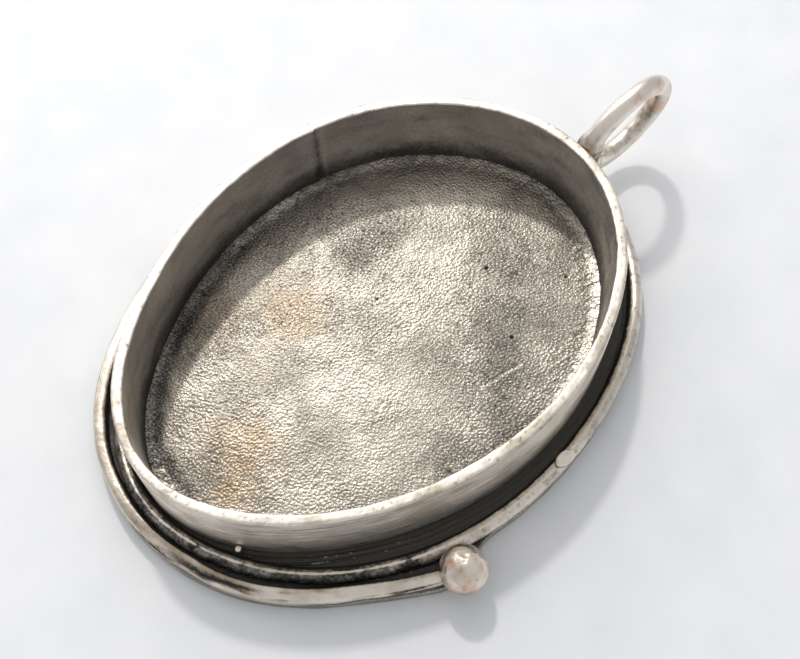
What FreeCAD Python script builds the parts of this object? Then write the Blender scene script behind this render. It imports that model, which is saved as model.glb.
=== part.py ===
import FreeCAD, Part
import math
import os

# Oval open bezel cup pendant in antique silver, soldered from wire, strip and sheet.
# Origin: centre of the cup on the underside of the back plate. +Y towards the hanging
# loop, along the long axis. +Z out of the mouth of the cup. Millimetres.

Vec = FreeCAD.Vector

# Cup outline: an ellipse, bent by hand into a slightly egg-shaped, squarish oval.
HALF_LENGTH = 21.25
HALF_WIDTH = 15.75
EGG = 0.33
SQUARE = 0.14
TWIST_2 = 0.07
TWIST_4 = -0.08
OUTLINE_POINTS = 48

# Sheet and strip.
PLATE_THICK = 1.0
WALL_THICK = 0.8
RIM_HEIGHT = 8.1
FOOT_FILLET = 0.5
FLOOR_STEP = 0.05
FLOOR_GAP = 0.05
RIM_EASE = 0.15

# The bezel strip's ends meet in a soldered butt joint at this angle.
SEAM_ANGLE = 164.0
SEAM_WIDTH = 0.14

# Border wires, laid on the ledge of the plate around the foot of the wall.
# Each stage is (angle in degrees, distance of the wire's middle from the wall's face).
OUTER_WIRE_WIDTH = 1.1
OUTER_WIRE_HEIGHT = 1.15
OUTER_WIRE_CREST = -0.1
OUTER_WIRE_STAGES = [(188, 1.95), (205, 2.25), (222, 2.4), (240, 2.35), (250, 2.15), (258, 1.93),
                     (267, 1.85), (278, 1.98), (290, 2.42), (302, 3.05), (315, 3.4), (326, 3.65),
                     (336, 4.0)]

INNER_WIRE_RADIUS = 0.6
INNER_WIRE_SINK = 0.1
INNER_WIRE_STAGES = [(0, 1.8), (20, 1.6), (45, 1.65), (70, 1.55), (100, 1.2), (130, 0.9),
                     (160, 0.7), (200, 0.65), (240, 0.65), (270, 0.65), (290, 0.98),
                     (310, 1.75), (325, 2.1), (340, 2.15)]

# Edge of the back plate, as (angle, overhang beyond the wall's face).
PLATE_STAGES = [(0, 2.4), (16, 2.15), (45, 2.2), (70, 2.15), (100, 1.85), (130, 1.7), (160, 2.0),
                (188, 2.55), (205, 2.8), (222, 2.95), (240, 2.9), (250, 2.7), (258, 2.5), (267, 2.45),
                (280, 2.7), (290, 3.1), (302, 3.62), (315, 3.97), (326, 4.22), (334, 4.65),
                (339, 4.75), (343, 4.0), (347, 2.95), (352, 2.6)]

# Granules and bead.
BALL_RADIUS = 1.86
BALL_ANGLE = 341.0
BALL_OUT = 4.35
BALL_HEIGHT = 1.6
BEAD_ANGLE = 9.0
BEAD_OUT = 1.75
BEAD_LENGTH = 1.76
BEAD_WIDTH = 1.14
BEAD_THICK = 0.9
GRAIN_RADIUS = 0.3
GRAIN_ANGLE = 296.0
GRAIN_HEIGHT = 1.05

# Hanging loop: a closed ring of round wire, nearly upright, its hole facing sideways.
LOOP_X = 0.6
LOOP_Y = 26.1
LOOP_Z = 6.5
LOOP_RADIUS = 4.23
LOOP_WIRE_RADIUS = 0.83
LOOP_SOLDER_RADIUS = 1.0
LOOP_LEAN = 6.0


def outline_point(degrees, out, z):
    """Point on the cup outline, moved outwards by out along the ellipse's normal."""
    t = math.radians(degrees)
    nx = math.cos(t) / HALF_WIDTH
    ny = math.sin(t) / HALF_LENGTH
    scale = math.hypot(nx, ny)
    bend = EGG * math.sin(3 * t) + SQUARE * math.cos(4 * t)
    bend += TWIST_2 * math.sin(2 * t) + TWIST_4 * math.sin(4 * t)
    push = (out + bend) / scale
    return Vec(HALF_WIDTH * math.cos(t) + push * nx, HALF_LENGTH * math.sin(t) + push * ny, z)


def outward(degrees):
    """Unit vector pointing straight out of the wall at this angle."""
    t = math.radians(degrees)
    return Vec(math.cos(t) / HALF_WIDTH, math.sin(t) / HALF_LENGTH, 0).normalize()


def closed_face(points):
    curve = Part.BSplineCurve()
    curve.interpolate(points, PeriodicFlag=True)
    return Part.Face(Part.Wire(curve.toShape()))


def oval_prism(out, low, high):
    """Solid oval, its edge out beyond the wall's outer face, from low to high."""
    step = 360.0 / OUTLINE_POINTS
    points = [outline_point(i * step, out, low) for i in range(OUTLINE_POINTS)]
    return closed_face(points).extrude(Vec(0, 0, high - low))


def staged(stages, z):
    return [outline_point(angle, out, z) for angle, out in stages]


def sweep(path_points, section, closed):
    """Sweep an upright closed section along a level path."""
    curve = Part.BSplineCurve()
    curve.interpolate(path_points, PeriodicFlag=closed)
    pipe = Part.BRepOffsetAPI.MakePipeShell(Part.Wire(curve.toShape()))
    pipe.setBiNormalMode(Vec(0, 0, 1))
    pipe.add(section(curve))
    pipe.build()
    pipe.makeSolid()
    return pipe.shape()


def section_at_start(curve, profile):
    """Place (across, up) profile points at the start of the path, square to it."""
    start = curve.value(curve.FirstParameter)
    along = curve.tangent(curve.FirstParameter)[0]
    across = along.cross(Vec(0, 0, 1))
    return [start + across * a + Vec(0, 0, up) for a, up in profile]


def back_plate():
    """Sheet with a ledge outside the wall and a slightly raised floor inside the cup."""
    face = closed_face(staged(PLATE_STAGES, 0))
    sheet = face.extrude(Vec(0, 0, PLATE_THICK))
    floor_edge = -WALL_THICK - FOOT_FILLET / 2 - FLOOR_GAP
    return sheet.fuse(oval_prism(floor_edge, PLATE_THICK, PLATE_THICK + FLOOR_STEP))


def seam_slot():
    """Thin upright slab across the wall where the strip's ends meet."""
    centre = outline_point(SEAM_ANGLE, -WALL_THICK / 2, 0)
    slab = Part.makeBox(4 * WALL_THICK, SEAM_WIDTH, RIM_HEIGHT + 1)
    slab.translate(Vec(-2 * WALL_THICK, -SEAM_WIDTH / 2, 0))
    direction = outward(SEAM_ANGLE)
    slab.rotate(Vec(0, 0, 0), Vec(0, 0, 1), math.degrees(math.atan2(direction.y, direction.x)))
    slab.translate(centre)
    return slab


def closed_wall():
    """The whole wall with its eased rim and the solder fillet round its inner foot."""
    top = RIM_HEIGHT - RIM_EASE
    wall = oval_prism(0, PLATE_THICK, top)
    cap = oval_prism(-RIM_EASE, top, RIM_HEIGHT)
    room = oval_prism(-WALL_THICK, PLATE_THICK + FOOT_FILLET, RIM_HEIGHT)
    floor = oval_prism(-WALL_THICK - FOOT_FILLET / 2, PLATE_THICK, PLATE_THICK + FOOT_FILLET)
    return wall.fuse(cap).cut(room).cut(floor).removeSplitter()


def outer_border_wire(ball):
    """Low strip with a domed top, its crest towards the cup, ending at the large granule."""
    half = OUTER_WIRE_WIDTH / 2
    high = OUTER_WIRE_HEIGHT
    crest = OUTER_WIRE_CREST

    def section(curve):
        corners = section_at_start(curve, [(-half, 0), (half, 0), (half, 0.35 * high),
                                           (crest + 0.2, high), (crest - 0.2, high),
                                           (-half, 0.6 * high)])
        dome = Part.BSplineCurve()
        dome.interpolate([corners[2], corners[3], corners[4], corners[5]])
        base = [Part.makeLine(corners[5], corners[0]), Part.makeLine(corners[0], corners[1]),
                Part.makeLine(corners[1], corners[2])]
        return Part.Wire(base + [dome.toShape()])

    return sweep(staged(OUTER_WIRE_STAGES, PLATE_THICK), section, False).cut(ball)


def inner_border_wire():
    """Round wire, its underside flattened where it is soldered to the plate."""
    radius = INNER_WIRE_RADIUS
    lift = radius - INNER_WIRE_SINK
    half = math.sqrt(radius ** 2 - lift ** 2)

    def section(curve):
        ends = section_at_start(curve, [(half, 0), (0, lift + radius), (-half, 0)])
        arc = Part.Arc(ends[0], ends[1], ends[2]).toShape()
        return Part.Wire([arc, Part.makeLine(ends[2], ends[0])])

    return sweep(staged(INNER_WIRE_STAGES, PLATE_THICK), section, True)


def large_granule():
    centre = outline_point(BALL_ANGLE, BALL_OUT, PLATE_THICK + BALL_HEIGHT)
    ball = Part.makeSphere(BALL_RADIUS, centre)
    under = Part.makeBox(60, 60, PLATE_THICK, Vec(-10, -40, 0))
    return ball.cut(under)


def flattened_bead(wire):
    """Pip of solder hammered flat on the crest of the inner wire."""
    bead = Part.makeSphere(1.0)
    squash = FreeCAD.Matrix()
    squash.scale(BEAD_WIDTH / 2, BEAD_LENGTH / 2, BEAD_THICK / 2)
    bead = bead.transformGeometry(squash)
    bead.translate(outline_point(BEAD_ANGLE, BEAD_OUT, PLATE_THICK + 2 * INNER_WIRE_RADIUS))
    return bead.cut(wire)


def small_granule():
    centre = outline_point(GRAIN_ANGLE, GRAIN_RADIUS, PLATE_THICK + GRAIN_HEIGHT)
    return Part.makeSphere(GRAIN_RADIUS, centre)


def bail_loop():
    """Closed ring with the blob of solder that fixes it to the wall."""
    lean = math.radians(LOOP_LEAN)
    middle = Vec(LOOP_X, LOOP_Y, LOOP_Z)
    axis = Vec(math.cos(lean), 0, -math.sin(lean))
    ring = Part.makeTorus(LOOP_RADIUS, LOOP_WIRE_RADIUS, middle, axis)
    solder = Part.makeSphere(LOOP_SOLDER_RADIUS, Vec(LOOP_X, LOOP_Y - LOOP_RADIUS, LOOP_Z))
    return ring.fuse(solder).cut(oval_prism(0, 0, 2 * RIM_HEIGHT))


def export(name, shape):
    solids = shape.Solids
    if len(solids) != 1 or not shape.isValid():
        raise ValueError(name + " is not one valid solid: " + str(len(solids)))
    solids[0].exportStep("parts/" + name + ".step")


def build():
    os.makedirs("parts", exist_ok=True)
    wall = closed_wall()
    ball = large_granule()
    inner = inner_border_wire()
    export("back_plate", back_plate())
    export("bezel_wall", wall.cut(seam_slot()))
    export("bezel_seam", wall.common(seam_slot()))
    export("outer_border_wire", outer_border_wire(ball))
    export("inner_border_wire", inner)
    export("large_granule", ball)
    export("flattened_bead", flattened_bead(inner))
    export("small_granule", small_granule())
    export("bail_loop", bail_loop())


build()
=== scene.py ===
import math
import bpy
import numpy as np
from mathutils import Matrix, Vector


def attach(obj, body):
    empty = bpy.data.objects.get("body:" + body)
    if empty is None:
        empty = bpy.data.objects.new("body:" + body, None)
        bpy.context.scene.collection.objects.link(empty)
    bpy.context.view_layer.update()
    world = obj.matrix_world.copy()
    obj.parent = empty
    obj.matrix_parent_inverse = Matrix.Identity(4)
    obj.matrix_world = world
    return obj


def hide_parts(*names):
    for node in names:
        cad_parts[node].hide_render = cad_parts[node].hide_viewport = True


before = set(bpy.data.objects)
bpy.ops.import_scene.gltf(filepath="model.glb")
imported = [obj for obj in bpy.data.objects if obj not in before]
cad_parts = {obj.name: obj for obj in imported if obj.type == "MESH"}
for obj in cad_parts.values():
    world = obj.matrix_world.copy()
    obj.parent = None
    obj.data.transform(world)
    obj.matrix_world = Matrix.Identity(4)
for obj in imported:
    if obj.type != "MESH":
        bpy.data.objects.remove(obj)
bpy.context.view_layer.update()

# Oval open bezel cup pendant in oxidised silver. Lengths below are in millimetres, in the
# CAD frame; meshes are scaled to metres when they are made.
MM = 0.001

# ---------------------------------------------------------------- dimensions
# The outline, as in the CAD: an ellipse bent into a slightly egg-shaped, squarish oval.
HALF_LENGTH = 21.25
HALF_WIDTH = 15.75
EGG = 0.33
SQUARE = 0.14
TWIST_2 = 0.07
TWIST_4 = -0.08

# The sheet and the wall, as in the CAD.
PLATE_TOP = 1.0
FLOOR_TOP = 1.05
RIM_HEIGHT = 8.1
WALL_THICK = 0.8
FOOT_FILLET = 0.5
SEAM_ANGLE = 164.0

# Hand work on the wall: how far the strip's end stands out at the seam and sinks past it,
# how far out anything may stand, the depth of its file marks and dents, and the angle at
# which its inside is made lightest, high up.
SEAM_PROUD = 0.16
SEAM_SUNK = 0.05
MOST_OUT = 0.30
FINE_STREAK = 0.028
BROAD_STREAK = 0.022
DENT = 0.035
LIGHTER_INSIDE_ANGLE = 232

# Wires and the plate's edge: (angle, distance out from the wall's face), as in the CAD.
OUTER_STAGES = [(188, 1.95), (205, 2.25), (222, 2.4), (240, 2.35), (250, 2.15), (258, 1.93),
                (267, 1.85), (278, 1.98), (290, 2.42), (302, 3.05), (315, 3.4), (326, 3.65),
                (336, 4.0)]
INNER_STAGES = [(0, 1.8), (20, 1.6), (45, 1.65), (70, 1.55), (100, 1.2), (130, 0.9), (160, 0.7),
                (200, 0.65), (240, 0.65), (270, 0.65), (290, 0.98), (310, 1.75), (325, 2.1),
                (340, 2.15)]
PLATE_STAGES = [(0, 2.4), (16, 2.15), (45, 2.2), (70, 2.15), (100, 1.85), (130, 1.7), (160, 2.0),
                (188, 2.55), (205, 2.8), (222, 2.95), (240, 2.9), (250, 2.7), (258, 2.5),
                (267, 2.45), (280, 2.7), (290, 3.1), (302, 3.62), (315, 3.97), (326, 4.22),
                (334, 4.65), (339, 4.75), (343, 4.0), (347, 2.95), (352, 2.6)]
WIRE_RADIUS = 0.6
WIRE_MIDDLE = PLATE_TOP + 0.5

# Angles: where the strip starts and ends, where its end is beaten down, where its top
# turns from flat to crested, and where the round wire's whole top is bright.
STRIP_ENDS = (188, 337.5)
STRIP_TIP = (187, 194)
STRIP_CREST_RISES = (262, 284)
BRIGHT_WIRE_START = 334

# The ledge: its front, its scored lines as (distance out from the wall, height) and its
# lip as (distance in from the edge, distance down, darkness).
FRONT_ANGLE = 280
LEDGE_RIDGES = [(0.45, 0.08), (0.85, 0.10), (2.75, 0.08), (3.15, 0.05)]
LIP = [(0.13, 0.0, 0.75), (0.05, 0.03, 0.45), (0.01, 0.10, 0.35), (0.0, 0.25, 0.4),
       (0.0, 0.45, 0.5), (0.01, 0.65, 0.55), (0.0, 0.8, 0.6), (0.03, 0.92, 0.6),
       (0.12, 1.0, 0.5)]

# Granules and bead. A place is (angle, distance out from the wall's face, height), and
# the ball's flats are (direction, share of the radius that is left).
BALL_RADIUS = 1.86
BALL_PLACE = (341.0, 4.35, PLATE_TOP + 1.6)
BALL_FLATS = [((-0.35, 0.25, 0.9), 0.955), ((0.5, -0.5, 0.7), 0.97), ((-0.7, -0.6, 0.35), 0.97),
              ((0.1, 0.9, 0.45), 0.95), ((0.85, 0.35, 0.4), 0.965)]
BEAD_PLACE = (9.0, 1.75, PLATE_TOP + 1.15)
BEAD_HALF = (0.57, 0.88, 0.42)
BEAD_TOP = 0.26
GRAIN_RADIUS = 0.3
GRAIN_PLACE = (296.0, 0.3, PLATE_TOP + 1.05)

# The hanging loop, which leans by an angle about Y. It stops just inside the wall.
LOOP_MIDDLE = (0.6, 26.1, 6.5)
LOOP_RADIUS = 4.23
LOOP_WIRE = 0.83
LOOP_LEAN = 6.0
LOOP_FOOT_Y = 21.02

# The cup's floor: its grain, the painted shadow by its left edge, and its marks. Patches are
# (x, y, radius, strength), pits (x, y, radius), and the scrape runs from end to end.
FLOOR_PITCH = 0.078
CELL = 0.27
CELL_HEIGHT = 0.034
FINE_CELL = 0.17
FINE_CELL_HEIGHT = 0.030
PAINTED_SHADOW_ANGLE = 226
TURN_UP = 0.20
PIT_DEPTH = 0.12
WARM_PATCHES = [(0.8, -14.8, 4.2, 0.75), (-6.4, -4.0, 3.4, 0.5), (3.0, -17.5, 2.2, 0.4),
                (-9.5, -9.0, 3.0, 0.35)]
# Darker patches on the floor, one made lighter by a negative strength; the last, along the left wall,
# is painted shadow.
DARKER_PATCHES = [(-8.5, 4.0, 5.5, 0.32), (8.5, 4.0, 6.5, 0.20), (13.0, -1.0, 4.5, 0.22),
                (-8.5, -10.0, 4.0, 0.22), (-0.5, -18.0, 3.2, 0.22), (2.0, 10.0, 7.0, 0.10),
                (4.5, -10.0, 5.5, -0.12), (-4.0, -3.0, 6.5, 0.10),
                (0.8, -14.8, 4.0, 0.12), (-13.0, -1.0, 4.5, 0.25)]
CALM_PATCHES = [(4.5, 13.5, 6.5, 0.9), (9.5, 5.0, 3.8, 0.7), (-9.5, -1.5, 2.8, 0.6)]
PITS = [(1.2, 10.7, 0.17), (6.1, 15.1, 0.17), (7.2, 7.9, 0.17), (-2.5, 2.0, 0.1)]
SCRAPE = ((9.0, 3.2), (9.6, 6.9))

# Steps round the oval for the plate, the wall, the strip and the wire.
PLATE_COUNT = 1080
WALL_COUNT = 900
STRIP_COUNT = 620
WIRE_COUNT = 1100

# Lamps: name, direction, distance and size in metres, power, colour.
LAMPS = [("key", (-0.577, 0.277, 0.769), 0.80, 0.05, 1.95, (1.0, 0.985, 0.95)),
         ("soft", (-0.70, 0.30, 0.65), 0.17, 0.15, 0.115, (1.0, 0.99, 0.97)),
         ("low_side", (-0.90, -0.25, 0.42), 0.35, 0.10, 0.10, (1.0, 0.98, 0.95))]
ROOM_COLOUR = (0.97, 0.98, 1.0, 1)
ROOM_STRENGTH = 0.62

# The camera: azimuth, elevation and roll in degrees; target, distance and lens in mm.
CAMERA_ANGLES = (49.56, 63.76, -0.30)
CAMERA_TARGET = (0.27, 2.04, -0.4)
CAMERA_DISTANCE = 94.23
CAMERA_LENS = 51.75

# The paper that the pendant lies on: half its side in metres, and its two shades.
TABLE_HALF = 0.45
PAPER_COLOURS = ((0.80, 0.81, 0.83), (0.86, 0.865, 0.88))


# ---------------------------------------------------------------- noise
def lattice(i, j, k, seed):
    """A repeatable number from 0 to 1 for each cell of a grid."""
    h = i * 73856093 ^ j * 19349663 ^ k * 83492791 ^ (seed * 2654435 + 97)
    h = (h ^ (h >> 13)) * 1274126177
    h = (h ^ (h >> 15)) * 668265263
    return ((h ^ (h >> 16)) & 0xffff) / 65535.0


def noise(p, seed):
    """Smooth noise from -1 to 1 at points p, one wave to a unit of length."""
    base = np.floor(p).astype(np.int64)
    part = p - base
    ease = part * part * (3 - 2 * part)
    total = np.zeros(len(p))
    for corner in range(8):
        step = np.array([corner & 1, corner >> 1 & 1, corner >> 2 & 1])
        weight = np.prod(np.where(step == 1, ease, 1 - ease), axis=1)
        cell = base + step
        total += weight * lattice(cell[:, 0], cell[:, 1], cell[:, 2], seed)
    return 2 * total - 1


def rough(p, size, seed, octaves=3):
    """Layered noise whose largest waves are size across."""
    size = np.asarray(size, float)
    total = np.zeros(len(p))
    for octave in range(octaves):
        total += noise(p * 2 ** octave / size + 11.3 * octave, seed + octave) / 2 ** octave
    return total


def cells(p, size, seed):
    """Distances to the nearest and the second nearest of scattered points, in cell units."""
    q = p[:, :2] / size
    base = np.floor(q).astype(np.int64)
    near = np.full(len(q), 9.0)
    second = np.full(len(q), 9.0)
    for dx in (-1, 0, 1):
        for dy in (-1, 0, 1):
            i, j = base[:, 0] + dx, base[:, 1] + dy
            x = i + lattice(i, j, j * 0 + 3, seed)
            y = j + lattice(i, j, j * 0 + 7, seed)
            far = np.hypot(q[:, 0] - x, q[:, 1] - y)
            second = np.minimum(second, np.maximum(near, far))
            near = np.minimum(near, far)
    return near, second


def ramp(x, low, high):
    """0 below low, 1 above high, eased between."""
    t = np.clip((x - low) / (high - low), 0, 1)
    return t * t * (3 - 2 * t)


# ---------------------------------------------------------------- the oval
def unit_normal(deg):
    t = np.radians(deg)
    n = np.stack([np.cos(t) / HALF_WIDTH, np.sin(t) / HALF_LENGTH], -1)
    return n / np.linalg.norm(n, axis=-1, keepdims=True)


def outline(deg, out):
    """Points at the angles deg, out beyond the wall's outer face."""
    t = np.radians(np.asarray(deg, float))
    bend = EGG * np.sin(3 * t) + SQUARE * np.cos(4 * t)
    bend = bend + TWIST_2 * np.sin(2 * t) + TWIST_4 * np.sin(4 * t)
    ellipse = np.stack([HALF_WIDTH * np.cos(t), HALF_LENGTH * np.sin(t)], -1)
    return ellipse + unit_normal(deg) * (np.asarray(out, float) + bend)[..., None]


def spot(place):
    deg, out, z = place
    x, y = outline(deg, out)
    return np.array([x, y, z])


def staged(stages, deg, closed):
    """Natural cubic curve through (angle, value) stages."""
    a = np.array([s[0] for s in stages], float)
    v = np.array([s[1] for s in stages], float)
    if closed:
        order = np.argsort(a)
        a, v = a[order], v[order]
        a = np.concatenate([a - 360, a, a + 360])
        v = np.concatenate([v, v, v])
    n = len(a)
    h = np.diff(a)
    system = np.eye(n)
    right = np.zeros(n)
    for i in range(1, n - 1):
        system[i, i - 1:i + 2] = h[i - 1], 2 * (h[i - 1] + h[i]), h[i]
        right[i] = 6 * ((v[i + 1] - v[i]) / h[i] - (v[i] - v[i - 1]) / h[i - 1])
    m = np.linalg.solve(system, right)
    k = np.clip(np.searchsorted(a, deg) - 1, 0, n - 2)
    u, w = a[k + 1] - deg, deg - a[k]
    bend = (m[k] * u ** 3 + m[k + 1] * w ** 3) / (6 * h[k])
    line = (v[k] / h[k] - m[k] * h[k] / 6) * u + (v[k + 1] / h[k] - m[k + 1] * h[k] / 6) * w
    return bend + line


# ---------------------------------------------------------------- meshes
def make_piece(name, points, faces, node, material, marks):
    """A mesh piece from millimetre points, which stands for a CAD node.

    marks holds numbers from 0 to 1 for each point, which its material reads."""
    mesh = bpy.data.meshes.new(name)
    faces = faces if isinstance(faces, list) else faces.tolist()
    mesh.from_pydata((np.asarray(points) * MM).tolist(), [], faces)
    for mark, values in marks.items():
        layer = mesh.attributes.new(mark, "FLOAT", "POINT")
        layer.data.foreach_set("value", np.clip(values, 0, 1).astype(np.float32))
    mesh.polygons.foreach_set("use_smooth", np.ones(len(mesh.polygons), bool))
    mesh.materials.append(material)
    mesh.update()
    piece = bpy.data.objects.new(name, mesh)
    bpy.context.scene.collection.objects.link(piece)
    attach(piece, "root")
    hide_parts(node)
    return piece


def grid_faces(rows, columns, wrap_rows, wrap_columns):
    """Quads over a grid of points numbered row by row."""
    r = np.arange(rows if wrap_rows else rows - 1)
    c = np.arange(columns if wrap_columns else columns - 1)
    r, c = np.meshgrid(r, c, indexing="ij")
    r2, c2 = (r + 1) % rows, (c + 1) % columns
    quads = [r * columns + c, r2 * columns + c, r2 * columns + c2, r * columns + c2]
    return np.stack(quads, -1).reshape(-1, 4)


def swept(deg, middle, lift, sections):
    """Points of a section (across, up) carried round the oval: one row to an angle."""
    xy = outline(deg, middle)
    along = np.gradient(xy, axis=0)
    along /= np.linalg.norm(along, axis=1, keepdims=True)
    across = np.stack([along[:, 1], -along[:, 0]], -1)
    flat = xy[:, None, :] + across[:, None, :] * sections[..., 0:1]
    up = lift[:, None, None] + sections[..., 1:2]
    return np.concatenate([flat, up], -1)


# ---------------------------------------------------------------- materials
class Shading:
    """A new material, and short ways to add linked nodes to it."""

    def __init__(self, name, specular):
        self.material = bpy.data.materials.new(name)
        self.material.use_nodes = True
        self.nodes = self.material.node_tree.nodes
        self.links = self.material.node_tree.links
        self.shader = self.nodes["Principled BSDF"]
        self.shader.inputs["Specular IOR Level"].default_value = specular
        self.place = self.nodes.new("ShaderNodeTexCoord")

    def set_input(self, socket, value):
        if isinstance(value, tuple):
            socket.default_value = (*value, 1)
        elif isinstance(value, float):
            socket.default_value = value
        else:
            self.links.new(value, socket)

    def mark(self, name):
        node = self.nodes.new("ShaderNodeAttribute")
        node.attribute_name = name
        return node.outputs["Fac"]

    def texture(self, size_mm, detail, roughness=0.6, distortion=0.0):
        node = self.nodes.new("ShaderNodeTexNoise")
        self.links.new(self.place.outputs["Object"], node.inputs["Vector"])
        node.inputs["Scale"].default_value = 1 / (size_mm * MM)
        node.inputs["Detail"].default_value = detail
        node.inputs["Roughness"].default_value = roughness
        node.inputs["Distortion"].default_value = distortion
        return node.outputs["Fac"]

    def span(self, value, low, high, to_low=0.0, to_high=1.0):
        node = self.nodes.new("ShaderNodeMapRange")
        node.interpolation_type = "SMOOTHSTEP"
        self.links.new(value, node.inputs["Value"])
        node.inputs["From Min"].default_value = low
        node.inputs["From Max"].default_value = high
        node.inputs["To Min"].default_value = to_low
        node.inputs["To Max"].default_value = to_high
        return node.outputs["Result"]

    def maths(self, kind, a, b):
        node = self.nodes.new("ShaderNodeMath")
        node.operation = kind
        self.set_input(node.inputs[0], a)
        self.set_input(node.inputs[1], b)
        return node.outputs[0]

    def mixed(self, factor, a, b):
        node = self.nodes.new("ShaderNodeMix")
        node.data_type = "RGBA"
        self.links.new(factor, node.inputs["Factor"])
        self.set_input(node.inputs[6], a)
        self.set_input(node.inputs[7], b)
        return node.outputs[2]

    def bumped(self, height, depth_mm):
        node = self.nodes.new("ShaderNodeBump")
        node.inputs["Strength"].default_value = 1.0
        node.inputs["Distance"].default_value = depth_mm * MM
        self.links.new(height, node.inputs["Height"])
        self.links.new(node.outputs["Normal"], self.shader.inputs["Normal"])


def silver(name, bright, grey, patina, gloss, grain_mm, bump_mm, pitting, warm):
    """Silver: bright where the mark "dark" is low, black where it is high; the mark holds patina and
    wear, and in places painted shade and light.

    gloss is (roughness of bare metal, roughness of patina); grain_mm the size of its
    finest scratches and pits, bump_mm their depth; pitting is how far the patina breaks
    up into specks; warm is the colour of the mark "warm"."""
    look = Shading(name, 0.45)
    inputs = look.shader.inputs

    clouds = look.span(look.texture(5.5, 4.0, 0.6, 0.4), 0.36, 0.64)
    specks = look.texture(grain_mm * 2.2, 3.0, 0.7)
    metal = look.mixed(clouds, grey, bright)
    metal = look.mixed(look.span(specks, 0.30, 0.72, 0.0, 0.45), metal, bright)
    blotches = look.span(look.texture(1.1, 4.0, 0.7), 0.3, 0.62, 0.45, 1.0)
    metal = look.mixed(look.maths("MULTIPLY", look.mark("warm"), blotches), metal, warm)

    speckled = look.maths("MULTIPLY", look.maths("SUBTRACT", specks, 0.5), pitting)
    black = look.span(look.maths("ADD", speckled, look.mark("dark")), 0.05, 0.95)
    look.set_input(inputs["Base Color"], look.mixed(black, metal, patina))
    look.set_input(inputs["Metallic"], look.span(black, 0.0, 1.0, 1.0, 0.55))

    sheen = look.maths("MULTIPLY", look.maths("SUBTRACT", look.texture(0.9, 3.0), 0.5), 0.22)
    shine = look.span(black, 0.0, 1.0, *gloss)
    look.set_input(inputs["Roughness"], look.maths("ADD", shine, sheen))
    look.bumped(look.texture(grain_mm * 1.5, 2.5, 0.6), bump_mm)
    return look.material


def paper():
    """Plain pale paper with faint clouds in it."""
    look = Shading("paper", 0.2)
    look.shader.inputs["Roughness"].default_value = 0.9
    fibre = look.texture(6, 5, 0.5)
    shade = look.nodes.new("ShaderNodeValToRGB")
    for element, position, colour in zip(shade.color_ramp.elements, (0.3, 0.7), PAPER_COLOURS):
        element.position = position
        element.color = (*colour, 1)
    look.links.new(fibre, shade.inputs["Fac"])
    look.links.new(shade.outputs["Color"], look.shader.inputs["Base Color"])
    return look.material


BROWN = (0.34, 0.245, 0.15)
ROSE = (0.66, 0.42, 0.30)
FLOOR_SILVER = silver("floor_silver", (0.46, 0.415, 0.355), (0.25, 0.225, 0.19),
                      (0.02, 0.019, 0.017), (0.31, 0.5), 0.08, 0.03, 1.3, BROWN)
WALL_SILVER = silver("wall_silver", (0.95, 0.88, 0.78), (0.74, 0.68, 0.60),
                     (0.045, 0.042, 0.038), (0.50, 0.55), 0.14, 0.008, 0.4, BROWN)
LEDGE_SILVER = silver("ledge_silver", (0.60, 0.56, 0.49), (0.32, 0.30, 0.27),
                      (0.055, 0.053, 0.045), (0.40, 0.42), 0.12, 0.012, 0.9, BROWN)
WIRE_SILVER = silver("wire_silver", (0.84, 0.76, 0.66), (0.58, 0.52, 0.45),
                     (0.022, 0.021, 0.018), (0.36, 0.45), 0.12, 0.014, 0.9, BROWN)
GRANULE_SILVER = silver("granule_silver", (0.86, 0.78, 0.69), (0.66, 0.57, 0.49),
                        (0.035, 0.03, 0.026), (0.30, 0.5), 0.35, 0.008, 0.6, ROSE)
LOOP_SILVER = silver("loop_silver", (0.86, 0.79, 0.70), (0.60, 0.55, 0.49),
                     (0.045, 0.04, 0.036), (0.34, 0.5), 0.2, 0.008, 0.7, ROSE)
SOLDER_DARK = silver("solder_dark", (0.50, 0.46, 0.40), (0.30, 0.275, 0.24),
                     (0.03, 0.028, 0.025), (0.5, 0.55), 0.1, 0.01, 0.6, BROWN)


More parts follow.
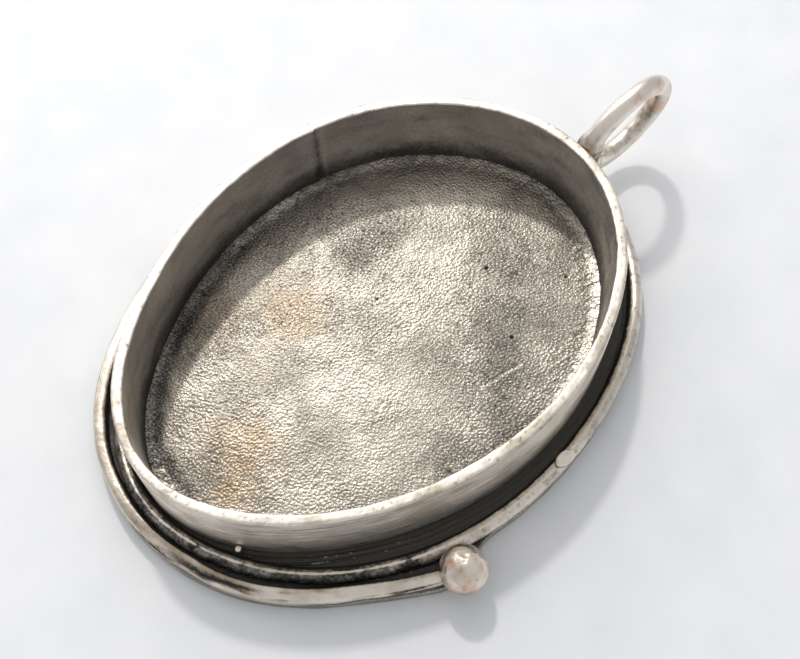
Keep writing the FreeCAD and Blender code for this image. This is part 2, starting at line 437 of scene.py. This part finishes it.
# ---------------------------------------------------------------- the back plate
def plate_ledge():
    """The sheet: a worn lip, a blackened and scored ledge, and a flat back."""
    count = PLATE_COUNT
    deg = np.arange(count) * 360 / count
    front = 0.15 + 0.85 * ramp(np.cos(np.radians(deg - FRONT_ANGLE)), 0.3, 0.85)
    edge = staged(PLATE_STAGES, deg, True)
    rows = []
    marks = []
    for out in [-1.2, -0.8, 0.0, *np.linspace(0.04, 0.92, 60)]:
        far = np.full(count, out) if out <= 0 else out * (edge - 0.15)
        p = np.column_stack([outline(deg, far), np.full(count, PLATE_TOP)])
        shade = np.ones(count)
        if out > 0:
            p[:, 2] += 0.022 * rough(p, 0.7, 21) - 0.02
            bend = 0.12 * rough(p * 0.2, 1.0, 22)
            for line, rise in LEDGE_RIDGES:
                ridge = ramp(1 - np.abs(far + bend - line) / 0.13, 0, 1)
                p[:, 2] += rise * ridge * front
                # The ridges are lighter along their crests: worn bare, and painted highlight.
                shade -= 0.6 * ridge * front * ramp(rough(p, 0.45, 23, 2), 0.2, 0.8)
        rows.append(p)
        marks.append(shade)
    for back, drop, dark in LIP:
        p = np.column_stack([outline(deg, edge - back), np.full(count, PLATE_TOP - drop)])
        wear = 0.03 * rough(p, (1.6, 1.6, 0.4), 25)
        p[:, :2] += unit_normal(deg) * (np.minimum(wear, 0.02) - 0.02)[:, None]
        rows.append(p)
        marks.append(np.full(count, dark))
    for share in np.linspace(0.97, 0.03, 40):
        p = np.column_stack([outline(deg, edge - 0.12) * share, np.zeros(count)])
        p[:, 2] += 0.012 + 0.012 * np.clip(rough(p, (5.0, 5.0, 1.0), 29), -1, 1)
        rows.append(p)
        marks.append(0.35 + 0.3 * rough(p, 4.0, 33))
    last = (len(rows) - 1) * count
    faces = grid_faces(len(rows), count, False, True).tolist()
    faces += [[last + i, last + count, last + (i + 1) % count] for i in range(count)]
    rows.append(rows[-1].mean(axis=0)[None, :])
    marks.append(marks[-1].mean(keepdims=True))
    points = np.concatenate(rows)
    dark = np.concatenate(marks)
    return make_piece("plate_ledge", points, faces, "back_plate", LEDGE_SILVER,
                      {"dark": dark})


def near_line(p, start, end):
    """Distance from points to a straight mark on the floor."""
    a, b = np.array(start), np.array(end)
    share = np.clip((p[:, :2] - a) @ (b - a) / ((b - a) @ (b - a)), 0, 1)
    return np.linalg.norm(p[:, :2] - a - share[:, None] * (b - a), axis=1)


def patches(p, spots):
    """Soft round patches (x, y, radius, strength), broken up by noise."""
    total = np.zeros(len(p))
    for x, y, radius, strength in spots:
        far = np.hypot(p[:, 0] - x, p[:, 1] - y) / radius
        total += strength * ramp(1.15 - far + 0.25 * rough(p, radius * 0.6, int(radius * 10)), 0, 1)
    return total


def floor_grid():
    """A fine square grid inside the wall.

    Returns its points, its faces, and each point's angle and distance from the wall."""
    x = np.arange(-15.6, 15.6, FLOOR_PITCH)
    y = np.arange(-21.6, 21.2, FLOOR_PITCH)
    gx, gy = np.meshgrid(x, y, indexing="ij")
    p = np.column_stack([gx.ravel(), gy.ravel(), np.zeros(gx.size)])
    angle = np.degrees(np.arctan2(p[:, 1] / HALF_LENGTH, p[:, 0] / HALF_WIDTH)) % 360
    limit = np.linalg.norm(outline(angle, -WALL_THICK - 0.02), axis=1)
    edge = limit - np.linalg.norm(p[:, :2], axis=1)
    faces = grid_faces(len(x), len(y), False, False)
    faces = faces[(edge > 0)[faces].all(axis=1)]
    return p, faces, angle, edge


def floor_grain(p, painted_shadow):
    """Height and darkness of the leathery cells, which fade out on calm patches and are lower in the
    painted shadow.
    """
    swirl = np.column_stack([rough(p, 3.0, 41, 2), rough(p, 3.0, 43, 2)]) * 0.22
    q = p.copy()
    q[:, :2] = (p[:, :2] + swirl) @ np.array([[0.95, -0.32], [0.28, 0.86]])
    near, second = cells(q, CELL, 5)
    fine_near, fine_second = cells(q, FINE_CELL, 6)
    pebble = ramp(second - near, 0.0, 0.35)
    fine = ramp(fine_second - fine_near, 0.0, 0.4)
    calm = np.clip(patches(p, CALM_PATCHES), 0, 1)
    patchy = ramp(rough(p, 4.0, 47), -0.8, 0.8) * (1 - 0.6 * calm)
    height = CELL_HEIGHT * pebble + FINE_CELL_HEIGHT * fine + 0.016 * rough(p, 1.1, 51, 2)
    height = height * (0.45 + 0.65 * patchy) * (1 - 0.8 * painted_shadow)
    dark = 0.30 * (1 - pebble) + 0.10 * (1 - fine) + 0.10 * calm + 0.12 * (0.5 - patchy)
    return height, dark


def floor_turn_up(p, angle, edge):
    """Height of the floor's edge, where it turns up and short marks run outwards."""
    fan = np.column_stack([np.radians(angle) * 18 / 0.32 + 0.9 * rough(p, 0.8, 56), edge, edge * 0])
    height = 0.035 * noise(fan, 55) * ramp(2.8 - edge, 0, 1.8)
    return height + TURN_UP * ramp(1.7 - edge, 0, 1.7) ** 1.6


def floor_spots(p):
    """Height and darkness of the casting pits and the scrape."""
    height, dark = np.zeros(len(p)), np.zeros(len(p))
    for x, y, radius in PITS:
        far = np.hypot(p[:, 0] - x, p[:, 1] - y) / radius
        hole = ramp(1.1 - far + 0.4 * rough(p, 0.2, 59), 0, 0.8)
        height -= PIT_DEPTH * hole
        dark += hole
    scrape = ramp(1.2 - near_line(p, *SCRAPE) / 0.17 + 0.5 * rough(p, 0.6, 58), 0, 0.9)
    return height + 0.02 * scrape, dark - 0.35 * scrape


def cup_floor():
    """The grained floor, gently uneven, tarnished, with painted shadow and calmer grain at the left.
    """
    p, faces, angle, edge = floor_grid()
    # Painted shadow: the left wall's shadow on the floor is painted darker, and the grain there is
    # also calmer.
    painted_shadow = ramp(np.cos(np.radians(angle - PAINTED_SHADOW_ANGLE)), 0.62, 0.94)
    painted_shadow = painted_shadow * ramp(2.2 - edge + 0.25 * rough(p, 1.2, 54, 2), 0, 0.9)
    grain_height, grain_dark = floor_grain(p, painted_shadow)
    spot_height, spot_dark = floor_spots(p)
    height = grain_height + spot_height + floor_turn_up(p, angle, edge) + 0.035 * rough(p, 7.0, 53, 2)
    dark = 0.06 + grain_dark + spot_dark + 0.07 * rough(p, 2.4, 57, 3) + patches(p, DARKER_PATCHES)
    # Painted shade: a darker band a little in from the wall all round, then the painted shadow at the
    # left.
    dark += 0.18 * ramp(2.6 - edge, 0, 2.0) * ramp(edge, 0.7, 1.3) + 0.34 * painted_shadow
    # Painted glints: light specks on the turned-up edge next to the wall, left out in the painted
    # shadow.
    dark -= 0.6 * ramp(1.3 - edge, 0, 0.5) * ramp(noise(p / 0.3, 60), 0.1, 0.6) * (1 - painted_shadow)
    warm = patches(p, WARM_PATCHES)
    p[:, 2] = FLOOR_TOP - 0.03 + height
    used, renumbered = np.unique(faces, return_inverse=True)
    return make_piece("cup_floor", p[used], renumbered.reshape(-1, 4), "back_plate",
                      FLOOR_SILVER, {"dark": dark[used], "warm": warm[used]})


# ---------------------------------------------------------------- the wall
def seam_step(deg):
    """The strip's two ends don't meet flush: the one before the seam stands further out."""
    before = (SEAM_ANGLE - deg) % 360
    after = (deg - SEAM_ANGLE) % 360
    return SEAM_PROUD * np.exp(-before / 9.0) - SEAM_SUNK * np.exp(-after / 7.0)


def wall_profile():
    """(share of thickness inwards, height, side) down the outside, over the rim, down inside."""
    top = RIM_HEIGHT
    outer = [(0.0, z, 0) for z in np.linspace(PLATE_TOP, top - 0.16, 70)]
    rim = [(0.02, top - 0.08, 1), (0.08, top - 0.03, 1), (0.18, top - 0.005, 1), (0.34, top, 1),
           (0.5, top, 1), (0.66, top, 1), (0.82, top - 0.005, 1), (0.92, top - 0.03, 1),
           (0.98, top - 0.08, 1)]
    inner = [(1.0, z, 2) for z in np.linspace(top - 0.16, PLATE_TOP + FOOT_FILLET, 50)]
    foot = [(1.0 + 0.3 * FOOT_FILLET / WALL_THICK * (1 - math.cos(a)),
             PLATE_TOP + FOOT_FILLET * (1 - math.sin(a)), 3)
            for a in np.linspace(0.2, math.pi / 2, 7)]
    return np.array(outer + rim + inner + foot)


def wall_offsets(field, along, deg, z, share, side):
    """How far each point stands out from the outline, with file marks, dents and taper."""
    outside, rim, inside = side == 0, side == 1, side >= 2
    thick = WALL_THICK * (1 + 0.10 * rough(along, 7.0, 61, 2) + 0.03 * rough(along, 0.8, 62, 2))
    out = -share[None, :] * thick[:, None]
    out += seam_step(deg % 360)[:, None] * (1 - 0.9 * np.minimum(share, 1))[None, :]
    streaks = FINE_STREAK * field((3.2, 0.14, 1), 65) + BROAD_STREAK * field((5.0, 0.6, 1), 66)
    dents = DENT * field((3.5, 3.0, 1), 67)
    low = ramp(z, PLATE_TOP + 0.2, PLATE_TOP + 1.6)
    out += np.where(outside, (streaks + dents) * (0.3 + 0.7 * low) - 0.02, 0)
    smooth = 0.02 * field((5.0, 3.0, 1), 68) + 0.004 * field((0.9, 0.5, 1), 69)
    out += np.where(inside & (side < 3), smooth, 0)
    out -= np.where(inside, 0.25 * ramp(RIM_HEIGHT - z, 0, RIM_HEIGHT - PLATE_TOP), 0)
    out += np.where(rim, 0.012 * field((0.8, 0.8, 1), 70), 0)
    return np.minimum(out, MOST_OUT)


def wall_marks(field, points, deg, z, side):
    """Streaks and a dark foot, partly painted shade, outside; a worn and pitted rim; and inside
    painted shade, grime, a lighter band high up and the joint.
    """
    outside, rim, inside = side == 0, side == 1, side >= 2
    grime = field((2.2, 0.9, 1), 72, 3)
    streak = field((4.0, 0.13, 1), 73)
    nick = ramp(field((1.4, 0.09, 1), 75) - 0.55, 0, 0.4) * ramp(z, 5.2, 6.6)
    # Outside, darker towards the foot: patina in the join with the ledge, and painted shade.
    foot = 0.56 - 0.56 * ramp(z + 0.5 * grime, 0.8, 3.4)
    dark = np.where(outside, foot + 0.46 * streak + 0.35 * nick, 0)

    # Inside: an even dark tone, with painted shade deepening towards the floor and on the +x side,
    # and grime.
    shaded = 0.20 * ramp(np.cos(np.radians(deg)), 0.1, 0.9)[:, None]
    shaded = shaded + 0.48 + 0.42 * (1 - ramp(z, 1.0, 4.4)) + 0.07 * grime
    # Lighter high up on the inside, around one angle.
    lighter_high = ramp(np.cos(np.radians(deg - LIGHTER_INSIDE_ANGLE)), 0.5, 0.95)[:, None] * ramp(z, 3.5, 7.8)
    past = ((deg - SEAM_ANGLE + 180) % 360 - 180)[:, None]
    joint = 0.30 * np.exp(-(past / 0.9) ** 2) - 0.14 * np.exp(-((past + 1.9) / 0.8) ** 2)
    dark += np.where(inside, shaded - 0.24 * lighter_high + joint * (0.7 + 0.3 * grime), 0)

    pits = ramp(rough(points, 0.2, 74, 2).reshape(z.shape) - 0.4, 0, 0.6)
    dark += np.where(rim, 0.16 + 0.1 * grime + 0.4 * pits, 0)
    warm = ramp(grime, 0.1, 1.2) * np.where(outside | rim, 0.5, 0.25)
    return {"dark": dark.ravel(), "warm": warm.ravel()}


def bezel_wall():
    """The bent strip, its rim uneven and its two ends met at the seam."""
    count = WALL_COUNT
    deg = SEAM_ANGLE + (np.arange(count) + 0.5) * 360 / count
    profile = wall_profile()
    share, height, side = profile[:, 0], profile[:, 1], profile[:, 2]
    middle = outline(deg, 0)
    length = np.concatenate([[0], np.cumsum(np.linalg.norm(np.diff(middle, axis=0), axis=1))])
    s, z = np.meshgrid(length, height, indexing="ij")
    flat = np.column_stack([s.ravel(), z.ravel(), np.zeros(s.size)])
    along = np.column_stack([length, np.zeros(count), np.zeros(count)])

    def field(size, seed, octaves=2):
        return rough(flat, size, seed, octaves).reshape(s.shape)

    out = wall_offsets(field, along, deg, z, share, side)
    drop = 0.05 + 0.035 * rough(along, 6.0, 63, 2) + 0.012 * rough(along, 0.7, 64, 2)
    z = z - ramp(z, PLATE_TOP + 1.0, RIM_HEIGHT) * drop[:, None]
    points = np.column_stack([outline(np.repeat(deg, len(profile)), out.ravel()), z.ravel()])
    points[:, 2] -= 0.016 * (1 + rough(points, 0.3, 71, 2)) * np.tile(side == 1, count)
    faces = grid_faces(count, len(profile), True, True)
    return make_piece("wall_strip", points, faces, "bezel_wall", WALL_SILVER,
                      wall_marks(field, points, deg, z, side))


def bezel_seam():
    """Uneven line of solder in the joint: up the outside, across under the rim, down inside."""
    profile = wall_profile()
    profile = profile[(profile[:, 2] < 3) & (profile[:, 1] < RIM_HEIGHT - 0.1)]
    half_gap = 0.5 * 360 / WALL_COUNT
    rows = []
    for share, z, side in profile:
        width = 0.05 + 0.03 * noise(np.array([[z * 2.2, side * 3.0, 0.5]]), 81)[0]
        inward = 1 if side == 2 else -1
        middle = -share * WALL_THICK + (-0.015 if side == 2 else 0.05)
        row = []
        for k, bulge in ((-1, 0.03), (-0.5, 0.0), (0.0, -0.012), (0.5, 0.0), (1, 0.03)):
            deg = SEAM_ANGLE + half_gap * k * width / 0.05
            xy = outline(deg, middle + inward * (0.03 - bulge) - 0.01 * inward)
            row.append([xy[0], xy[1], min(z - 0.04, RIM_HEIGHT - 0.05)])
        rows.append(row)
    points = np.array(rows).reshape(-1, 3)
    faces = grid_faces(len(rows), 5, False, False)
    dark = 0.55 + 0.1 * rough(points, 0.8, 82)
    return make_piece("seam_solder", points, faces, "bezel_seam", SOLDER_DARK,
                      {"dark": dark})


# ---------------------------------------------------------------- border wires
def outer_border_wire():
    """Hammered strip: flat-topped at the left, crested at the front, its free end beaten down."""
    deg = np.linspace(*STRIP_ENDS, STRIP_COUNT)
    out = staged(OUTER_STAGES, deg, False)
    across = np.array([-0.55, -0.55, -0.53, -0.50, -0.45, -0.38, -0.30, -0.18, -0.06, 0.06, 0.18,
                       0.30, 0.38, 0.45, 0.50, 0.53, 0.55, 0.55, 0.55])
    flat_top = np.array([0.0, 0.35, 0.65, 0.88, 1.02, 1.10, 1.14, 1.15, 1.15, 1.14, 1.13,
                         1.10, 1.04, 0.92, 0.75, 0.55, 0.35, 0.15, 0.0])
    crested = np.array([0.0, 0.42, 0.78, 1.00, 1.10, 1.14, 1.15, 1.12, 1.07, 1.00, 0.91,
                        0.80, 0.71, 0.60, 0.50, 0.40, 0.28, 0.14, 0.0])
    front = ramp(deg, *STRIP_CREST_RISES)[:, None]
    up = flat_top * (1 - front) + crested * front
    up = up * (0.35 + 0.65 * ramp(deg, *STRIP_TIP))[:, None]
    section = np.stack([np.broadcast_to(across, up.shape), up], -1)
    wobble = np.column_stack([deg * 0.4, deg * 0, deg * 0])
    out = out + 0.03 * rough(wobble, 3.0, 91, 2)
    points = swept(deg, out, np.full(len(deg), PLATE_TOP), section)
    shape = points.shape[:2]
    flat = points.reshape(-1, 3)
    raised = ramp(up, 0.1, 0.7).ravel()
    move = 0.022 * rough(flat, 1.5, 92) + 0.008 * rough(flat, 0.35, 93, 2)
    flat[:, 2] -= raised * (0.02 + np.abs(move))
    flat[:, :2] += (move * raised * 0.6)[:, None] * unit_normal(np.repeat(deg, shape[1]))
    grime = rough(flat, 0.9, 94)
    crest = ramp(np.abs(across + 0.06 + 0.18 * front), 0.06, 0.24)
    inner = ramp(-across, 0.28, 0.5)[None, :]
    dark = 0.95 * inner + 0.20 * ramp(0.5 - up, 0, 0.5) + (0.06 + 0.27 * front) * crest
    worn = np.repeat(0.35 + 0.65 * front.ravel(), shape[1])
    streak = rough(np.column_stack([np.repeat(deg, shape[1]) / 6, up.ravel() * 9, up.ravel() * 0]),
                   1.5, 95)
    dark = dark.ravel() + crest.ravel() * (0.14 * grime + 0.8 * streak) * worn
    faces = grid_faces(shape[0], shape[1], False, True).tolist()
    faces.append(list(range(shape[1])))
    faces.append(list(range((shape[0] - 1) * shape[1], shape[0] * shape[1])))
    warm = ramp(streak + 0.5 * grime, -0.6, 0.7) * 0.9 * worn
    return make_piece("border_strip", flat, faces, "outer_border_wire",
                      WIRE_SILVER, {"dark": dark, "warm": warm})


def inner_border_wire():
    """Drawn round wire, its crest worn flat in places."""
    count = WIRE_COUNT
    deg = np.arange(count) * 360 / count
    out = staged(INNER_STAGES, deg, True)
    turn = np.linspace(-0.16 * math.pi, 1.16 * math.pi, 43)
    section = np.stack([WIRE_RADIUS * np.cos(turn), WIRE_RADIUS * np.sin(turn)], -1)
    section[:, 1] = np.maximum(section[:, 1], PLATE_TOP - WIRE_MIDDLE)
    sections = np.broadcast_to(section, (count, *section.shape))
    around = np.column_stack([12 * np.cos(np.radians(deg)), 12 * np.sin(np.radians(deg)), deg * 0])
    out = out + 0.03 * rough(around, 4.0, 101, 2)
    points = swept(deg, out, np.full(count, WIRE_MIDDLE), sections)
    shape = points.shape[:2]
    flat = points.reshape(-1, 3)
    high = np.tile(section[:, 1], count)
    side = np.tile(section[:, 0], count)
    move = 0.02 * rough(flat, 1.3, 102) + 0.018 * rough(flat, 0.3, 103, 2)
    flat[:, 2] -= ramp(high, 0.0, 0.5) * (0.015 + np.abs(move))
    flat[:, :2] += (move * 0.6)[:, None] * unit_normal(np.repeat(deg, shape[1]))
    grime = rough(flat, 0.8, 104)
    dark = 0.95 * ramp(-side - 0.4 * high, 0.02, 0.32) + 0.8 * ramp(-high, -0.1, 0.3) + 0.2 * grime
    past = (np.repeat(deg, shape[1]) - BRIGHT_WIRE_START) % 360
    right = ramp(past, 0, 9) * (1 - ramp(past, 100, 120))
    crest = ramp(high + 0.008 * rough(flat, 0.4, 105, 2), 0.588, 0.601)
    mottle = rough(flat, 0.32, 106, 2)
    dark += (1 - right) * (0.72 - 0.75 * crest) + right * (0.24 * (1 - crest) + 0.16 * mottle)
    faces = grid_faces(shape[0], shape[1], True, True)
    return make_piece("border_wire", flat, faces, "inner_border_wire",
                      WIRE_SILVER, {"dark": dark})


# ---------------------------------------------------------------- granules
def ball_points(count_round, count_up):
    """Directions over a sphere, row by row from pole to pole."""
    up = np.linspace(0.02, math.pi - 0.02, count_up)
    turn = np.arange(count_round) * 2 * math.pi / count_round
    up, turn = np.meshgrid(up, turn, indexing="ij")
    directions = np.stack([np.sin(up) * np.cos(turn), np.sin(up) * np.sin(turn), np.cos(up)], -1)
    faces = grid_faces(count_up, count_round, False, True).tolist()
    faces.append(list(range(count_round)))
    faces.append(list(range((count_up - 1) * count_round, count_up * count_round)))
    return directions.reshape(-1, 3), faces


def large_granule():
    """Melted ball with hammered flats and small dents, sunk a little in its solder; painted shade on
    its lower half and a rosy tint that is partly painted reflection.
    """
    directions, faces = ball_points(120, 80)
    radius = np.full(len(directions), BALL_RADIUS)
    for axis, keep in BALL_FLATS:
        axis = np.array(axis) / np.linalg.norm(axis)
        facing = directions @ axis
        cut = BALL_RADIUS * keep / np.maximum(facing, 0.2)
        radius = np.where(facing > 0.2, np.minimum(radius, cut + 0.02 * (1 - facing)), radius)
    radius += 0.05 * rough(directions, 0.8, 111, 2) + 0.022 * rough(directions, 0.2, 112, 2) - 0.045
    points = spot(BALL_PLACE) + directions * radius[:, None]
    points[:, 2] = np.maximum(points[:, 2], PLATE_TOP)
    # Painted shade: darker over the ball's lower half.
    dark = 0.8 * ramp(-directions[:, 2], 0.0, 0.6) + 0.06 + 0.28 * rough(directions, 0.34, 113)
    # Rosy tint in mottles, stronger on the side towards the camera, where it is painted reflection.
    rosy_tint_and_reflection = rough(directions, 0.45, 114) + 0.5 * directions @ np.array([0.4, -0.5, 0.1])
    return make_piece("ball", points, faces, "large_granule", GRANULE_SILVER,
                      {"dark": dark, "warm": 0.8 * ramp(rosy_tint_and_reflection, 0, 0.9)})


def flattened_bead():
    directions, faces = ball_points(72, 40)
    shape = np.array(BEAD_HALF)
    points = directions * shape * (1 + 0.05 * rough(directions, 0.8, 121, 2))[:, None]
    points[:, 2] = np.minimum(points[:, 2], BEAD_TOP + 0.02 * rough(directions, 0.5, 122, 2))
    points += spot(BEAD_PLACE)
    # Painted shade: darker over the bead's lower half.
    dark = 0.9 * ramp(-directions[:, 2], -0.42, 0.0) + 0.15 * rough(directions, 0.6, 123)
    return make_piece("bead", points, faces, "flattened_bead",
                      GRANULE_SILVER, {"dark": dark})


def small_granule():
    directions, faces = ball_points(40, 24)
    radius = GRAIN_RADIUS * (0.95 + 0.08 * rough(directions, 0.9, 131, 2))
    points = spot(GRAIN_PLACE) + directions * radius[:, None]
    # Painted shade: darker over the granule's lower half.
    dark = 0.7 * ramp(-directions[:, 2], -0.1, 0.5)
    return make_piece("grain", points, faces, "small_granule",
                      GRANULE_SILVER, {"dark": dark})


# ---------------------------------------------------------------- the hanging loop
def bail_loop():
    """Bent round wire, thicker where solder has run up both sides of its foot."""
    rounds, section = 260, 36
    u = np.arange(rounds) * 2 * math.pi / rounds
    v = np.arange(section) * 2 * math.pi / section
    uu, vv = np.meshgrid(u, v, indexing="ij")
    foot = ramp(-np.cos(uu), 0.86, 1.0)
    around = np.column_stack([3 * np.cos(u), 3 * np.sin(u), u * 0])
    ring = LOOP_RADIUS * (1 + 0.006 * rough(around, 2.5, 141, 2))[:, None]
    wire = LOOP_WIRE * (0.98 + 0.02 * rough(around, 1.4, 142, 2))[:, None] * (1 + 0.15 * foot)
    reach = ring + wire * np.cos(vv)
    lean = math.radians(LOOP_LEAN)
    aside = wire * np.sin(vv) * (1 + 0.2 * foot)
    rise = reach * np.sin(uu)
    x = LOOP_MIDDLE[0] + aside * math.cos(lean) + rise * math.sin(lean)
    y = LOOP_MIDDLE[1] + reach * np.cos(uu)
    z = LOOP_MIDDLE[2] + rise * math.cos(lean) - aside * math.sin(lean)
    y = np.maximum(y, LOOP_FOOT_Y)
    points = np.stack([x, y, z], -1).reshape(-1, 3)
    points += 0.012 * rough(points, 0.8, 143, 2)[:, None] * np.array([1.0, 0.3, 0.5])
    inner = ramp(-np.cos(vv).ravel(), 0.35, 0.95)
    dark = 0.26 * inner + 0.6 * foot.ravel() + 0.08 + 0.2 * rough(points, 0.7, 144)
    warm = 0.8 * ramp(rough(points, 1.5, 145), 0.1, 1.0)
    faces = grid_faces(rounds, section, True, True)
    return make_piece("loop_ring", points, faces, "bail_loop", LOOP_SILVER,
                      {"dark": dark, "warm": warm})


# ---------------------------------------------------------------- stage, light and camera
def stage():
    mesh = bpy.data.meshes.new("table_top")
    half = TABLE_HALF
    mesh.from_pydata([(-half, -half, 0), (half, -half, 0), (half, half, 0), (-half, half, 0)],
                     [], [(0, 1, 2, 3)])
    mesh.materials.append(paper())
    table = bpy.data.objects.new("table_top", mesh)
    table.location.z = -0.0001
    bpy.context.scene.collection.objects.link(table)


def lamp(name, direction, distance, size, power, colour):
    """Square soft light that shines on the pendant from the given direction."""
    light = bpy.data.lights.new(name, "AREA")
    light.size = size
    light.energy = power
    light.color = colour
    back = Vector(direction).normalized()
    item = bpy.data.objects.new(name, light)
    item.location = back * distance
    item.rotation_euler = back.to_track_quat("Z", "Y").to_euler()
    bpy.context.scene.collection.objects.link(item)


def lights():
    for settings in LAMPS:
        lamp(*settings)
    world = bpy.data.worlds.new("room")
    bpy.context.scene.world = world
    world.use_nodes = True
    sky = world.node_tree.nodes["Background"]
    sky.inputs["Color"].default_value = ROOM_COLOUR
    sky.inputs["Strength"].default_value = ROOM_STRENGTH


def camera():
    """Looks down at the cup from its lower right, so that the loop is at the upper right."""
    azimuth, elevation, roll = map(math.radians, CAMERA_ANGLES)
    target = Vector(CAMERA_TARGET) * MM
    back = Vector((math.sin(azimuth) * math.cos(elevation),
                   -math.cos(azimuth) * math.cos(elevation), math.sin(elevation)))
    right = Vector((math.cos(azimuth), math.sin(azimuth), 0))
    up = back.cross(right)
    tilted_right = right * math.cos(roll) + up * math.sin(roll)
    tilted_up = up * math.cos(roll) - right * math.sin(roll)
    lens = bpy.data.cameras.new("camera")
    lens.sensor_width = 36
    lens.lens = CAMERA_LENS
    lens.clip_start = 0.002
    item = bpy.data.objects.new("camera", lens)
    turn = Matrix((tilted_right, tilted_up, back)).transposed().to_4x4()
    item.matrix_world = Matrix.Translation(target + back * CAMERA_DISTANCE * MM) @ turn
    bpy.context.scene.collection.objects.link(item)
    bpy.context.scene.camera = item


plate_ledge()
cup_floor()
bezel_wall()
bezel_seam()
outer_border_wire()
inner_border_wire()
large_granule()
flattened_bead()
small_granule()
bail_loop()
stage()
lights()
camera()
bpy.context.scene.view_settings.view_transform = "Standard"
